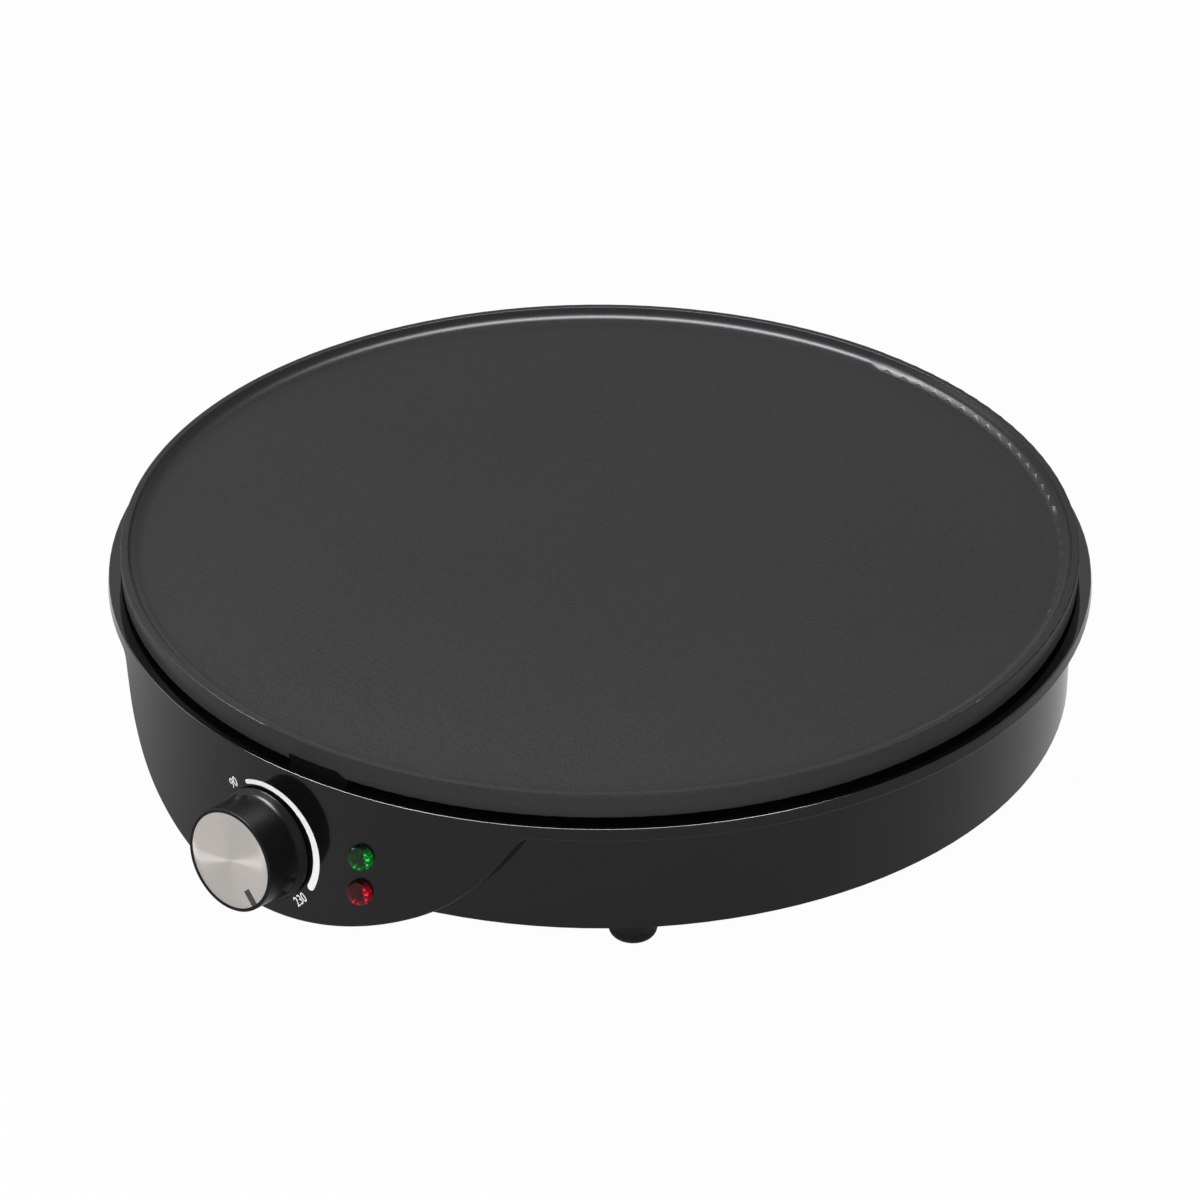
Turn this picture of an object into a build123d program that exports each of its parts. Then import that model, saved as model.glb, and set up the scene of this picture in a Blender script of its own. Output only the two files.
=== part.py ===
from build123d import *
from math import cos, degrees, radians, sin, sqrt, tan
import os

# Electric crepe maker: a cast griddle plate on a round moulded base, with a control panel that
# hangs below the skirt at the front. Millimetres. The origin is on the table under the middle of
# the plate, +Z is up and the control panel faces -Y. An azimuth is measured from the front, -Y,
# and grows towards +X. Every own size is named once here, and the rest is worked out from these.

# Fits and clearances
running_gap = 0.05      # radial, a shaft that turns in a bush
seat_gap = 0.3          # between separate mouldings and a curved seat
push_gap = 0.1          # radial, a part pushed into its hole by hand
thread_gap = 0.05       # radial, a screw's shank in its tapped hole, modelled plain
joint_gap = 0.15        # a wire's end before what it is joined to
thread_fill = 0.9       # share of a tapped hole that its screw fills
past = 1.0              # how far a cut runs past the face it opens

# Griddle plate, cast aluminium
plate_r = 160.5
plate_side_h = 8.3      # side wall, bottom edge to rim top
plate_t = 5.1           # cooking floor
rim_w = 2.4             # rim, measured to the sharp corner of its inner slope
rim_slope_w = 1.5       # plan width of that slope
rim_outer_round = 0.5
rim_inner_round = 0.35
floor_round = 5.0
plate_foot_round = 0.6
notch_w = 22.8          # notch in the side wall over the locating lug
notch_h = 2.2
notch_d = 3.2
notch_slope = 3.8       # plan width of its sloping right end
notch_azimuth = 5.85
plate_boss_r = 5.5
plate_boss_h = 6.6
rib_w = 12.0            # ribs that hold the element
rib_h = 4.5
blind_h = 1.5           # tapped holes above the plate's underside
strap_boss_r = 5.0

# Base housing, black moulded plastic
foot_h = 22.75          # table to the skirt's lower edge
skirt_h = 36.9
flange_h = 4.35
flange_over = 4.3       # flange beyond the plate's side wall
flange_step = 5.75      # flange beyond the skirt
flange_round = 0.5
plate_gap = 1.3         # flange top to the plate's side wall
ring_drop = 1.1         # fall of the ring's top towards the inner wall
wall = 2.5
channel_w = 8.4         # skirt to inner wall, the room for the posts
shelf_w = 25.5          # shelf inside the inner wall
post_r = 4.1            # posts for the cover screws
post_azimuths = (50, 100, 150, 210, 260, 310)
post_hole = 12.0

# Control panel, part of the housing
panel_r = 113.5         # radius of its lower edge, seen from the front
panel_h = 48.05         # flange bottom to its lowest point
panel_corner_r = 62.0   # radius of its lower corners
panel_corner_from = 29.0  # slope at which they start, degrees from level
panel_side = 60.0       # slope of its straight sides
panel_blend = 5.0       # radius that joins the sides to the flange
panel_tilt = 6.0        # its face and the flange's edge lean back by this, degrees
panel_edge_round = 0.6
pad_r = 13.0            # thick pad behind the knob
pad_depth = 7.0         # panel face to the pad's back
spot_r = 10.5           # flat recess for the bush nut
spot_depth = 1.2

# Knob
knob_drop = 24.6        # flange bottom to the knob's axis, at the panel's face
knob_l = 16.1           # panel face to knob face
knob_gap = 0.4
knob_r = 17.5
knob_face_r = 17.3
knob_foot_r = 18.9
knob_foot_h = 0.8
knob_foot_round = 0.3
knob_flare_h = 2.2      # flare above the foot ring
knob_flare_r = 3.0
knob_shoulder_round = 0.8
knob_wall = 1.9
knob_web = 2.0
knob_edge_round = 0.3
hub_r = 5.4
cap_r = 16.1
cap_t = 0.8
cap_recess = 0.9
pointer_w = 2.7
pointer_in_r = 10.7
pointer_inset = 0.15
hot_angle = 136.0       # pointer at rest, degrees clockwise from up
clip_t = 0.5
clip_w = 4.0
clip_split = 60.0

# Dial arc, printed
arc_in_r = 19.9
arc_cold_w = 1.5
arc_hot_w = 2.5
arc_cold_angle = -24.0  # its ends, degrees clockwise from up
arc_hot_angle = 113.2
print_t = 0.12

# Thermostat
shaft_r = 3.0
shaft_flat = 1.0        # depth of the D flat
shaft_in = 12.0         # panel face to the shaft's inner end
bush_r = 5.0
bush_out = 1.8          # bush beyond the panel face
nut_af = 14.0
nut_t = 2.5
bush_in = 4.0           # bush inside the thermostat
stat_w = 38.0
stat_h = 26.0
stat_d = 18.0
stat_cavity_r = 4.2
tab_w = 6.3
tab_t = 0.8
tab_l = 8.0
tab_x = 8.0

# Indicator lamps
lamp_azimuth = 12.8
green_drop = 16.4       # flange bottom to each lens axis
red_drop = 28.8
lens_r = 4.1
lens_out = 2.4
lens_wall = 1.1
lens_round = 0.9
lens_flange_r = 5.2
lens_flange_t = 1.0
lamp_r = 2.6
lamp_l = 15.0
lamp_tip_round = 2.1
holder_half_w = 4.6
holder_t = 10.0

# Heating element and what holds it
element_r = 3.25
outer_ring_in = 45.5    # outer ring inside the plate's side wall
ring_pitch = 47.0
ring_end = 14.0         # azimuth of both cold ends
cold_bend = 10.0        # bends down to the cold ends
cold_bend_r = 9.5
cold_end_z = 40.0
pin_r = 1.3
pin_l = 5.0
seal_r = 2.6
seal_l = 3.0
strap_w = 12.0
strap_t = 1.0
strap_azimuths = (70, 180, 290)
screw_r = 2.0           # M4
screw_head_r = 3.8
screw_head_h = 2.6

# Heat reflector, pressed steel
reflector_seat = 7.5    # its rim on the shelf
reflector_t = 0.8
reflector_lip = 3.0
reflector_dish_gap = 3.0  # dish inside the shelf
reflector_dish = 2.4
reflector_screw_in = 3.5
reflector_screw_azimuths = (20, 140, 260)
leg_hole_r = 7.0
wire_hole_r = 4.0
small_screw_r = 1.5     # M3
small_head_r = 2.6
small_head_h = 1.8

# Plate fixing
fixing_in = 10.5        # screws inside the inner wall
fixing_azimuths = (60, 180, 300)
spacer_h = 10.0
spacer_r = 4.5
spacer_bore_r = 2.3

# Sensor bulb, thermal fuse and their strap
bulb_r = 2.4
bulb_l = 64.0
bulb_y = -15.0
fuse_l = 40.0
fuse_y = 15.0
sensor_strap_w = 12.0
sensor_strap_t = 0.8
capillary_r = 0.9
capillary_first = 58.0  # its turns behind the well's back wall
capillary_second = 18.0
capillary_last = -3.0
earth_in = 23.0         # earth screw inside the inner ring

# Bottom cover, legs and feet
cover_t = 2.2
cover_inset = 0.5       # cover above the skirt's lower edge
well_d = 40.4           # well under the panel, inwards from the skirt
leg_r = 7.9
leg_in = 26.55          # legs inside the skirt
leg_azimuths = (-44, 44, 136, 224)
leg_hole = 6.0          # depth of the screw hole in a leg
tip_h = 5.0             # rubber tip below the leg
tip_stem_r = 3.6
tip_stem_h = 5.0
tip_round = 3.2
vent_l = 46.0
vent_w = 3.0
vent_pitch = 8.0
vent_count = 8
vent_x = 62.0

# Mains entry
gland_drop = 9.5        # gland's axis below the shelf
cord_r = 3.5
gland_bore_r = 3.7
gland_barrel_r = 6.4
gland_flange_r = 8.6
gland_flange_t = 2.4
gland_tail = 5.0
clamp_in = 24.4         # cord clamp inside the skirt
clamp_half_x = 10.0
clamp_post_r = 3.5
clamp_bar_w = 8.0
clamp_bar_t = 2.4
block_l = 34.0
block_d = 18.0
block_h = 14.0
block_behind = 40.0     # terminal block behind the clamp
block_pitch = 10.0
wire_r = 1.3
bend_share = 0.45       # share of a wire's shorter run that its bend takes up
wire_lead = 5.0         # straight run of a wire out of the terminal block
tab_lead = 15.0         # and behind the thermostat's tabs
pin_lead = 4.0
neutral_turn_y = 35.0
fuse_turn_y = -15.0
fuse_turn_run = 10.0
tag_t = 0.8             # ring tag under the earth screw
tag_r = 6.0
wire_rise = 7.0         # wires above the cover
low_wire_rise = 4.0
capillary_x = -13.0
hole_reach = 12.0       # wires' holes through the reflector, past the bulb and fuse
lamp_wire_r = 0.8
lamp_wire_run = 10.0
lamp_wire_rise = 5.0

# Heights and radii that follow
base_bottom = foot_h
flange_bottom = base_bottom + skirt_h
flange_top = flange_bottom + flange_h
plate_bottom = flange_top + plate_gap
cook_z = plate_bottom + plate_t
rim_top = plate_bottom + plate_side_h
flange_r = plate_r + flange_over
skirt_r = flange_r - flange_step
skirt_in_r = skirt_r - wall
inner_wall_r = skirt_in_r - channel_w
ring_in_r = inner_wall_r - wall
shelf_in_r = inner_wall_r - shelf_w
fixing_r = inner_wall_r - fixing_in
leg_circle_r = skirt_in_r - leg_in
reflector_r = shelf_in_r + reflector_seat
reflector_dish_r = shelf_in_r - reflector_dish_gap
reflector_screw_r = shelf_in_r + reflector_screw_in
outer_ring_r = plate_r - outer_ring_in
inner_ring_r = outer_ring_r - ring_pitch
earth_boss_y = inner_ring_r - earth_in
well_back_y = well_d - skirt_in_r
clamp_y = skirt_in_r - clamp_in
block_y = clamp_y - block_behind
shelf_top = plate_bottom - plate_boss_h - spacer_h
shelf_bottom = shelf_top - wall
post_circle_r = (inner_wall_r + skirt_in_r) / 2
cover_bottom = base_bottom + cover_inset
cover_top = cover_bottom + cover_t
panel_low = flange_bottom - panel_h
panel_circle_z = panel_low + panel_r
element_z = plate_bottom - rib_h
strap_top = element_z - element_r
sensor_z = plate_bottom - bulb_r
sensor_strap_top = plate_bottom - 2 * bulb_r
mean_ring_r = (outer_ring_r + inner_ring_r) / 2
dish_top = shelf_top + reflector_t - reflector_dish
wire_level = cover_top + wire_rise
low_level = cover_top + low_wire_rise
gland_z = shelf_bottom - gland_drop
clamp_seat = gland_z + cord_r
block_front = block_y - block_d / 2
wire_holes = [
    (-bulb_l / 2 - hole_reach, bulb_y), (-fuse_l / 2 - hole_reach, fuse_y),
    (fuse_l / 2 + hole_reach, fuse_y), (4 * screw_head_r, earth_boss_y),
]
far = 2 * flange_r


def panel_face_r(z):
    """Radius of the leaning face of the panel and the flange at a height."""
    return flange_r + (flange_top - z) * tan(radians(panel_tilt))


def at(azimuth, r, z=0.0):
    """The point at an azimuth from the front, a radius and a height."""
    return Vector(r * sin(radians(azimuth)), -r * cos(radians(azimuth)), z)


def facing(azimuth, r, z, tilt=0.0):
    """A plane that faces outwards at a point, its y axis up, leaning back by tilt."""
    a, t = radians(azimuth), radians(tilt)
    outward = (sin(a) * cos(t), -cos(a) * cos(t), sin(t))
    return Plane(origin=at(azimuth, r, z), x_dir=(cos(a), sin(a), 0), z_dir=outward)


def behind_panel(depth):
    """The point on the knob's axis at a depth behind the panel's face."""
    return knob_plane.origin - knob_plane.z_dir * depth


knob_z = flange_bottom - knob_drop
knob_plane = facing(0, panel_face_r(knob_z), knob_z, panel_tilt)
green_z = flange_bottom - green_drop
red_z = flange_bottom - red_drop
green_plane = facing(lamp_azimuth, panel_face_r(green_z), green_z, panel_tilt)
red_plane = facing(lamp_azimuth, panel_face_r(red_z), red_z, panel_tilt)
gland_plane = facing(180, skirt_r, gland_z)


def profile(points, rounds=()):
    """A closed flat outline, some of whose corners are rounded."""
    sketch = make_face(Polyline(*points, close=True))
    for corner, radius in rounds:
        sketch = fillet(sketch.vertices().sort_by_distance((*corner, 0))[0], radius)
    return sketch


def turned(points, rounds=(), plane=Plane.XZ):
    """An outline of (radius, height) points turned about the plane's y axis."""
    axis = Axis(plane.origin, plane.y_dir)
    return revolve(plane * profile(points, rounds), axis)


def turned_on(plane, points, rounds=()):
    """The same, turned about the z axis of a plane that faces outwards."""
    side = Plane(origin=plane.origin, x_dir=plane.x_dir, z_dir=-plane.y_dir)
    return turned(points, rounds, side)


def disc(plane, r, low, high):
    """A cylinder on a plane's z axis between two heights."""
    return extrude(plane.offset(low) * Circle(r), amount=high - low)


def upright(x, y, r, low, high):
    """A vertical cylinder."""
    return disc(Plane(origin=(x, y, 0)), r, low, high)


def box(x, y, z):
    """A box from its ranges along X, Y and Z."""
    size = [high - low for low, high in (x, y, z)]
    return Pos(x[0], y[0], z[0]) * Box(*size, align=(Align.MIN, Align.MIN, Align.MIN))


def group(shapes):
    """Like pieces that share one node."""
    return Compound(children=list(shapes))


def bend_radii(points):
    """The largest arc that the two runs at each corner leave room for."""
    radii = []
    for before, corner, after in zip(points, points[1:], points[2:]):
        one, two = Vector(*corner) - Vector(*before), Vector(*after) - Vector(*corner)
        half_turn = radians(one.get_angle(two)) / 2
        radii.append(bend_share * min(one.length, two.length) / tan(half_turn))
    return radii


def tube(points, r):
    """A round wire or tube along straight runs joined by arcs."""
    path = FilletPolyline(*points, radius=bend_radii(points))
    return sweep(Plane(origin=path @ 0, z_dir=path % 0) * Circle(r), path=path)


def screw(plane, shank_r, head_r, head_h, length, recess_r):
    """A pan-head screw whose head's seat is at the plane, its shank along the plane's z axis."""
    head = turned_on(
        plane,
        [(0, -head_h), (head_r, -head_h), (head_r, 0), (shank_r, 0), (shank_r, length), (0, length)],
        [((head_r, -head_h), head_h / 2)],
    )
    slot = plane.offset(-head_h) * Rectangle(recess_r * 2, recess_r / 2)
    cross = slot + plane.offset(-head_h) * Rectangle(recess_r / 2, recess_r * 2)
    return head - extrude(cross, amount=head_h / 2)


def upward(point):
    """A plane at a point whose z axis points up."""
    return Plane(origin=point)


def inside_panel(inset, top):
    """All that lies inside the panel's leaning face, less an inset, up to a height."""
    low = panel_low - wall
    return turned([
        (0, low), (panel_face_r(low) - inset, low), (panel_face_r(top) - inset, top), (0, top)])


def panel_outline(inset=0.0):
    """The panel seen from the front, its sides blended into the flange unless it is inset."""
    corner_from, side = radians(panel_corner_from), radians(panel_side)
    outwards, along = Vector(sin(side), -cos(side)), Vector(cos(side), sin(side))
    middle = Vector(0, panel_circle_z)
    corner_middle = middle + Vector(sin(corner_from), -cos(corner_from)) * (panel_r - panel_corner_r)

    def on_corner(slope):
        return corner_middle + Vector(sin(slope), -cos(slope)) * (panel_corner_r - inset)

    top = on_corner(side)
    blend = 0 if inset else panel_blend
    blend_low = flange_bottom - blend * (1 - cos(side))
    join = top + along * ((blend_low - top.Y) / sin(side))
    half = [
        ThreePointArc(on_corner(corner_from), on_corner((corner_from + side) / 2), top),
        Line(top, join),
    ]
    end = join
    if blend:
        centre = join + outwards * blend
        end = centre + Vector(0, blend)
        half.append(ThreePointArc(join, centre + Vector(-sin(side / 2), cos(side / 2)) * blend, end))
    low = on_corner(corner_from)
    across = [
        ThreePointArc((-low.X, low.Y), (0, panel_low + inset), low),
        Line(end, (-end.X, end.Y)),
    ]
    return make_face(half + [mirror(edge, Plane.YZ) for edge in half] + across)


def panel_room(inset, low_y):
    """Everything in front of low_y inside the panel's outline, less an inset."""
    return extrude(Plane.XZ.offset(-low_y) * panel_outline(inset), amount=far)


def open_ring(section):
    """A section of (radius, height) turned from one cold end round to the bend."""
    start = at(ring_end, 1)
    plane = Plane(origin=(0, 0, 0), x_dir=start, z_dir=start.cross(Vector(0, 0, 1)))
    return revolve(plane * section, Axis.Z, 360 - 2 * ring_end)


def rib(r):
    """A rib under the plate, grooved for one ring of the element."""
    high = plate_t / 2
    band = Pos(r, element_z + (rib_h + high) / 2) * Rectangle(rib_w, rib_h + high)
    return open_ring(band - Pos(r, element_z) * Circle(element_r + push_gap))


def notch_outline(gap):
    """The notch's outline on the plate's side wall, less a gap: its right end slopes."""
    left, right = -notch_w / 2 + gap, notch_w / 2 - gap
    low, high = -plate_gap - 2 * ring_drop, notch_h - gap
    points = [(left, low), (right, low), (right, 0), (right - notch_slope, high), (left, high)]
    return make_face(Polyline(*points, close=True))


def tapped(x, y, low, high):
    """The tapped hole in a boss under the plate, blind at its top."""
    return upright(x, y, screw_r + thread_gap, low - past, high)


def griddle_plate():
    wall_top = plate_r - rim_w
    body = turned(
        [
            (0, plate_bottom), (plate_r, plate_bottom), (plate_r, rim_top), (wall_top, rim_top),
            (wall_top - rim_slope_w, cook_z), (0, cook_z),
        ],
        [
            ((plate_r, plate_bottom), plate_foot_round),
            ((plate_r, rim_top), rim_outer_round),
            ((wall_top, rim_top), rim_inner_round),
            ((wall_top - rim_slope_w, cook_z), floor_round),
        ],
    )
    cut_from = facing(notch_azimuth, plate_r - notch_d, plate_bottom)
    body -= extrude(cut_from * notch_outline(0), amount=2 * notch_d)
    body += rib(outer_ring_r) + rib(inner_ring_r)
    blind = plate_bottom + blind_h
    for azimuth in fixing_azimuths:
        x, y, _ = at(azimuth, fixing_r)
        body += upright(x, y, plate_boss_r, plate_bottom - plate_boss_h, plate_bottom)
        body -= tapped(x, y, plate_bottom - plate_boss_h, blind)
    for azimuth in strap_azimuths:
        x, y, _ = at(azimuth, mean_ring_r)
        body += upright(x, y, strap_boss_r, strap_top, plate_bottom)
        body -= tapped(x, y, strap_top, blind)
    for y in (0, earth_boss_y):
        body += upright(0, y, strap_boss_r, sensor_strap_top, plate_bottom)
        body -= tapped(0, y, sensor_strap_top, blind)
    return body


def base_housing():
    skirt = turned([
        (skirt_in_r, base_bottom), (skirt_r, base_bottom),
        (skirt_r, flange_bottom), (skirt_in_r, flange_bottom),
    ])
    panel = panel_room(0, 0) & inside_panel(0, flange_bottom)
    panel -= upright(0, 0, skirt_in_r, 0, rim_top)
    pocket = panel_room(wall, -inner_wall_r / 2) & inside_panel(wall, flange_bottom)
    top = turned(
        [
            (skirt_in_r, flange_bottom), (panel_face_r(flange_bottom), flange_bottom),
            (flange_r, flange_top),
            (ring_in_r, flange_top - ring_drop), (ring_in_r, shelf_top),
            (shelf_in_r, shelf_top), (shelf_in_r, shelf_bottom),
            (inner_wall_r, shelf_bottom), (inner_wall_r, flange_bottom),
        ],
        [((flange_r, flange_top), flange_round)],
    )
    body = skirt + panel - pocket + top
    body = fillet(panel_face_edges(body), panel_edge_round)
    for azimuth in post_azimuths:
        x, y, _ = at(azimuth, post_circle_r)
        body += upright(x, y, post_r, cover_top, flange_bottom + wall / 2)
        body -= upright(x, y, small_screw_r + thread_gap, cover_top - past, cover_top + post_hole)
    lug = turned([
        (plate_r - notch_d + seat_gap, flange_bottom), (plate_r - seat_gap, flange_bottom),
        (plate_r - seat_gap, rim_top), (plate_r - notch_d + seat_gap, rim_top),
    ])
    lug_plane = facing(notch_azimuth, plate_r - notch_d, plate_bottom)
    body += lug & extrude(lug_plane * notch_outline(seat_gap), amount=2 * notch_d)
    body += disc(knob_plane, pad_r, -pad_depth, -wall / 2)
    body -= disc(knob_plane, spot_r, -spot_depth, wall)
    body -= disc(knob_plane, bush_r + push_gap, -2 * pad_depth, wall)
    for plane in (green_plane, red_plane):
        body -= disc(plane, lens_r + push_gap, -2 * wall, wall)
    for azimuth in fixing_azimuths:
        x, y, _ = at(azimuth, fixing_r)
        body -= upright(x, y, spacer_bore_r, shelf_bottom - past, shelf_top + past)
    for azimuth in reflector_screw_azimuths:
        x, y, _ = at(azimuth, reflector_screw_r)
        body -= upright(x, y, small_screw_r + thread_gap, shelf_bottom - past, shelf_top + past)
    body -= disc(gland_plane, gland_barrel_r + push_gap, -2 * wall, wall)
    return body


def panel_face_edges(body):
    """The edges where the panel's leaning face meets its outline."""
    found = []
    for edge in body.edges():
        middle = edge @ 0.5
        on_face = abs(sqrt(middle.X ** 2 + middle.Y ** 2) - panel_face_r(middle.Z)) < wall / 10
        if on_face and middle.Z < flange_bottom - panel_edge_round / 2 and edge.length > wall:
            found.append(edge)
    return found


def plate_spacers():
    sleeves = []
    for azimuth in fixing_azimuths:
        x, y, _ = at(azimuth, fixing_r)
        sleeve = upright(x, y, spacer_r, shelf_top, shelf_top + spacer_h)
        bore = upright(x, y, spacer_bore_r, shelf_top - past, shelf_top + spacer_h + past)
        sleeves.append(sleeve - bore)
    return group(sleeves)


def screws_at(azimuths, circle_r, seat_z, shank_r, head_r, head_h, length):
    """Like screws driven upwards on a circle."""
    return group(
        screw(upward(at(azimuth, circle_r, seat_z)), shank_r, head_r, head_h, length, head_r / 2)
        for azimuth in azimuths
    )


def plate_screws():
    length = wall + spacer_h + plate_boss_h * thread_fill
    return screws_at(
        fixing_azimuths, fixing_r, shelf_bottom, screw_r, screw_head_r, screw_head_h, length)


def cold_end(r):
    """The upper end, the bend and the foot of one cold end."""
    start = at(ring_end, r, element_z)
    towards_front = facing(ring_end, r, 0).x_dir * -1
    corner = start + towards_front * cold_bend
    return start, corner, Vector(corner.X, corner.Y, cold_end_z)


def heating_element():
    rings = [open_ring(Pos(r, element_z) * Circle(element_r)) for r in (outer_ring_r, inner_ring_r)]
    body = rings[0] + rings[1]
    section = facing(-ring_end, outer_ring_r, element_z)
    section = Plane(origin=section.origin, x_dir=section.z_dir, z_dir=section.x_dir)
    body += revolve(
        section * Circle(element_r), Axis(at(-ring_end, mean_ring_r, element_z), (0, 0, 1)), 180)
    for r in (outer_ring_r, inner_ring_r):
        start, corner, foot = cold_end(r)
        path = FilletPolyline(start, corner, foot, radius=cold_bend_r)
        body += sweep(Plane(origin=path @ 0, z_dir=path % 0) * Circle(element_r), path=path)
    return body


def element_seals():
    beads = []
    for r in (outer_ring_r, inner_ring_r):
        foot = cold_end(r)[2]
        bead = upright(foot.X, foot.Y, seal_r, cold_end_z - seal_l, cold_end_z)
        beads.append(bead - upright(foot.X, foot.Y, pin_r, 0, cold_end_z))
    return group(beads)


def element_pins():
    feet = [cold_end(r)[2] for r in (outer_ring_r, inner_ring_r)]
    return group(upright(f.X, f.Y, pin_r, cold_end_z - pin_l, cold_end_z) for f in feet)


def element_straps():
    straps = []
    length = outer_ring_r - inner_ring_r + 4 * element_r
    for azimuth in strap_azimuths:
        centre = at(azimuth, mean_ring_r, strap_top)
        out = facing(azimuth, mean_ring_r, strap_top).z_dir
        plane = Plane(origin=centre, x_dir=out, z_dir=(0, 0, -1))
        strap = extrude(plane * SlotOverall(length, strap_w), amount=strap_t)
        straps.append(strap - disc(plane, screw_r + push_gap, -past, 2 * strap_t))
    return group(straps)


def strap_screws():
    length = strap_t + (plate_bottom - strap_top) * thread_fill
    return screws_at(
        strap_azimuths, mean_ring_r, strap_top - strap_t,
        screw_r, screw_head_r, screw_head_h, length)


def heat_reflector():
    dish_low = dish_top - reflector_t
    slope = reflector_dish
    body = turned([
        (0, dish_low), (reflector_dish_r - slope, dish_low), (reflector_dish_r, shelf_top),
        (reflector_r, shelf_top), (reflector_r, shelf_top + reflector_lip),
        (reflector_r - reflector_t, shelf_top + reflector_lip),
        (reflector_r - reflector_t, shelf_top + reflector_t),
        (reflector_dish_r - reflector_t / 2, shelf_top + reflector_t),
        (reflector_dish_r - slope - reflector_t / 2, dish_top), (0, dish_top),
    ])
    low, high = dish_low - past, shelf_top + reflector_lip
    for r in (outer_ring_r, inner_ring_r):
        foot = cold_end(r)[2]
        body -= upright(foot.X, foot.Y, leg_hole_r, low, high)
    for x, y in wire_holes:
        body -= upright(x, y, wire_hole_r, low, high)
    for azimuth in reflector_screw_azimuths:
        x, y, _ = at(azimuth, reflector_screw_r)
        body -= upright(x, y, small_screw_r + push_gap, low, high)
    return body


def reflector_screws():
    shafts = []
    for azimuth in reflector_screw_azimuths:
        seat = Plane(origin=at(azimuth, reflector_screw_r, shelf_top + reflector_t), z_dir=(0, 0, -1))
        shafts.append(screw(
            seat, small_screw_r, small_head_r, small_head_h, reflector_t + 2 * wall, small_head_r / 2))
    return group(shafts)


def sensor_bulb():
    return disc(Plane(origin=(-bulb_l / 2, bulb_y, sensor_z), z_dir=(1, 0, 0)), bulb_r, 0, bulb_l)


def capillary_tube():
    rear = behind_panel(pad_depth + stat_d + joint_gap)
    end = Vector(capillary_x, rear.Y, rear.Z)
    x, y = wire_holes[0]
    points = [
        (-bulb_l / 2, bulb_y, sensor_z), (x, bulb_y, sensor_z), (x, y, wire_level + bulb_r),
        (x, well_back_y + capillary_first, wire_level),
        (capillary_x, well_back_y + capillary_second, wire_level - bulb_r),
        (capillary_x, well_back_y + capillary_last, end.Z), tuple(end),
    ]
    return tube(points, capillary_r)


def thermal_fuse():
    return disc(Plane(origin=(-fuse_l / 2, fuse_y, sensor_z), z_dir=(1, 0, 0)), bulb_r, 0, fuse_l)


def sensor_strap():
    reach = 2 * max(abs(bulb_y), abs(fuse_y)) + 4 * bulb_r
    plane = Plane(origin=(0, 0, sensor_strap_top), x_dir=(0, 1, 0), z_dir=(0, 0, -1))
    strap = extrude(plane * SlotOverall(reach, sensor_strap_w), amount=sensor_strap_t)
    return strap - disc(plane, screw_r + push_gap, -past, 2 * sensor_strap_t)


def sensor_strap_screw():
    seat = upward((0, 0, sensor_strap_top - sensor_strap_t))
    length = sensor_strap_t + 2 * bulb_r
    return screw(seat, screw_r, screw_head_r, screw_head_h, length, screw_head_r / 2)


def earth_screw():
    seat = upward((0, earth_boss_y, sensor_strap_top - tag_t))
    return screw(seat, screw_r, screw_head_r, screw_head_h, tag_t + 2 * bulb_r, screw_head_r / 2)


def thermostat_body():
    front = knob_plane.offset(-pad_depth)
    body = extrude(front * RectangleRounded(stat_w, stat_h, wall), amount=-stat_d)
    body -= disc(knob_plane, bush_r + push_gap, -pad_depth - bush_in, 0)
    return body - disc(knob_plane, stat_cavity_r, -shaft_in - 2 * seat_gap, 0)


def thermostat_tabs():
    rear = knob_plane.offset(-pad_depth - stat_d)
    tabs = [
        extrude(rear * Pos(x, 0) * Rectangle(tab_w, tab_t), amount=-tab_l)
        for x in (-tab_x, tab_x)
    ]
    return group(tabs)


def thermostat_bush():
    body = disc(knob_plane, bush_r, -pad_depth - bush_in, bush_out)
    return body - disc(knob_plane, shaft_r + running_gap, -far, far)


def bush_nut():
    seat = knob_plane.offset(-spot_depth)
    nut = extrude(seat * RegularPolygon(nut_af / 2, 6, major_radius=False), amount=nut_t)
    return nut - disc(knob_plane, bush_r + thread_gap, -far, far)


def shaft_section(gap):
    """The shaft's D section, or its hole with a gap."""
    flat = Pos(0, shaft_r - shaft_flat + gap + shaft_r) * Rectangle(4 * shaft_r, 2 * shaft_r)
    return Circle(shaft_r + gap) - flat


def thermostat_shaft():
    top = knob_l - cap_recess - knob_web
    whole = disc(knob_plane, shaft_r, -shaft_in, bush_out + seat_gap)
    keyed = knob_plane.offset(bush_out + seat_gap) * shaft_section(0)
    return whole + extrude(keyed, amount=top - bush_out - 2 * seat_gap)


def knob_body():
    web_low = knob_l - cap_recess - knob_web
    foot_top = knob_gap + knob_foot_h
    flare_top = foot_top + knob_flare_h
    body = turned_on(
        knob_plane,
        [
            (knob_r - knob_wall, knob_gap), (knob_foot_r, knob_gap), (knob_foot_r, foot_top),
            (knob_r, flare_top), (knob_face_r, knob_l),
            (cap_r + push_gap, knob_l), (cap_r + push_gap, knob_l - cap_recess),
            (0, knob_l - cap_recess), (0, bush_out + 2 * seat_gap),
            (hub_r, bush_out + 2 * seat_gap), (hub_r, web_low), (knob_r - knob_wall, web_low),
        ],
        [
            ((knob_face_r, knob_l), knob_edge_round),
            ((knob_r, flare_top), knob_flare_r),
            ((knob_foot_r, foot_top), knob_shoulder_round),
            ((knob_foot_r, knob_gap), knob_foot_round),
        ],
    )
    bore = knob_plane * shaft_section(running_gap)
    return body - extrude(bore, amount=web_low)


def cap_slot(gap):
    """The pointer's slot in the cap, from its inner end out past the edge, less a gap."""
    length = 2 * cap_r
    at_pointer = Rot(0, 0, -hot_angle) * Pos(0, pointer_in_r + length / 2 + gap)
    return at_pointer * Rectangle(pointer_w - 2 * gap, length)


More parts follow.
